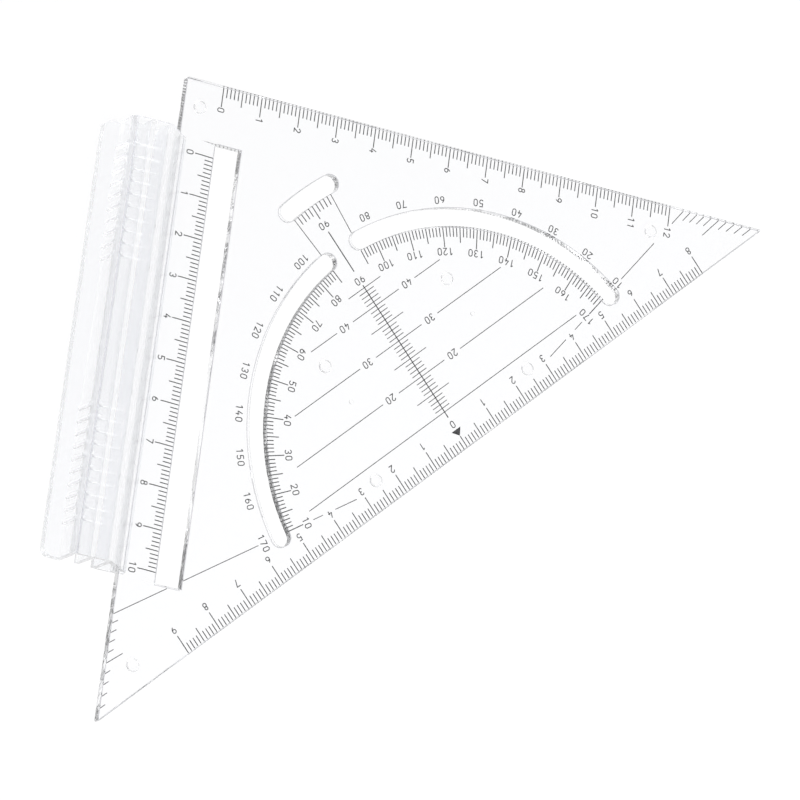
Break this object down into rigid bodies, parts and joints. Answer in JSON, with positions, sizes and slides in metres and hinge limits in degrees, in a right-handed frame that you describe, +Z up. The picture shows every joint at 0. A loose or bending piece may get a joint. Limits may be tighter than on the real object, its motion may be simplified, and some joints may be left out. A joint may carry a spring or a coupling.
{
  "type": "set square",
  "caption": "Clear right-angled set square with a protractor, graduated slots and a ribbed push-on grip along one leg, for use on a drawing board.",
  "frame": {"origin": "on the drawing surface, under the middle of the whole object's box, plate lying flat and print down", "axes": "+Z up; +X along the leg with the centimetre scale, away from the right-angle corner; +Y along the other leg towards the right-angle corner"},
  "size_m": [0.1734, 0.1546, 0.0114],
  "materials": {
    "clear_plate": "clear moulded acrylic, polished faces",
    "clear_grip": "clear moulded acrylic, polished, ribbed",
    "print": "fine black screen print"
  },
  "bodies": {
    "plate": {"plate": "clear_plate", "leg_scale_print": "print", "long_edge_scale_print": "print", "slot_scale_print": "print", "degree_scale_print": "print", "degree_numbers_print": "print", "edge_degree_print": "print", "axis_grid_print": "print"},
    "grip": {"grip": "clear_grip"}
  },
  "joints": [
    {"name": "grip_slide", "type": "slide", "parent": "plate", "child": "grip", "axis": [0, 1, 0], "range_m": [-0.033, 0.0145]}
  ]
}
